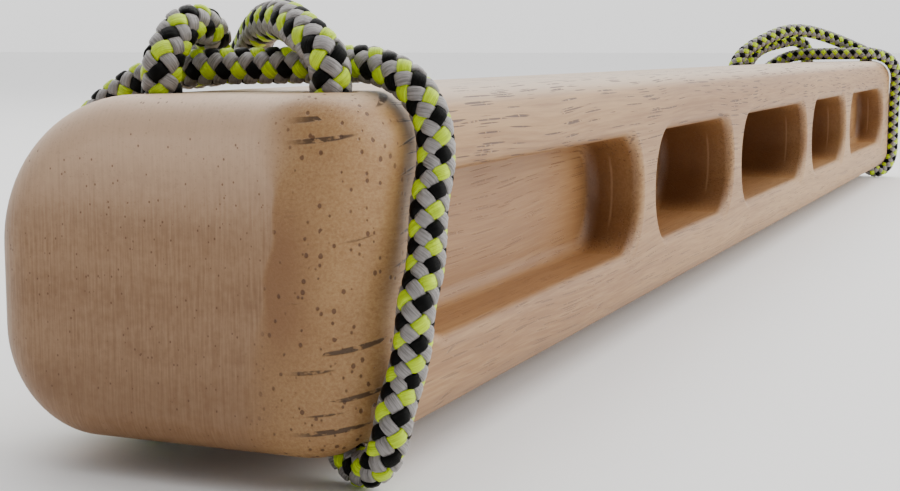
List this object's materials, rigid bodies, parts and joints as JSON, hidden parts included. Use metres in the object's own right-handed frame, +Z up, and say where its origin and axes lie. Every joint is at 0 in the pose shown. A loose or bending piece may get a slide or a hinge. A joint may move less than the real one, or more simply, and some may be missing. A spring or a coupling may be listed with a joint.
{
  "type": "portable climbing hangboard",
  "caption": "Rounded hardwood beam with rectangular finger pockets along its front face, and a braided cord at each end that wraps the beam and rises as a hanging loop.",
  "frame": {"origin": "centre of the board and its wrapped cords at floor level, measured without the two free loops", "axes": "+X along the board to its right end, +Y from the pocketed front face towards the back, +Z up"},
  "size_m": [0.58, 0.0754, 0.0714],
  "materials": {
    "hardwood": "fine sanded, unvarnished pale hardwood",
    "braided_cord": "satin eight-strand braid in silver-grey, black and lime green"
  },
  "bodies": {
    "board": {"board": "hardwood", "left_cord_wrap": "braided_cord", "right_cord_wrap": "braided_cord"},
    "left_loop": {"left_cord_loop": "braided_cord"},
    "right_loop": {"right_cord_loop": "braided_cord"}
  },
  "joints": [
    {"name": "left_loop_hinge", "type": "hinge", "parent": "board", "child": "left_loop", "pos_m": [-0.277, 0, 0.0579], "axis": [0, -1, 0], "range_deg": [0, 75]},
    {"name": "right_loop_hinge", "type": "hinge", "parent": "board", "child": "right_loop", "pos_m": [0.277, 0, 0.0579], "axis": [0, 1, 0], "range_deg": [0, 75]}
  ]
}
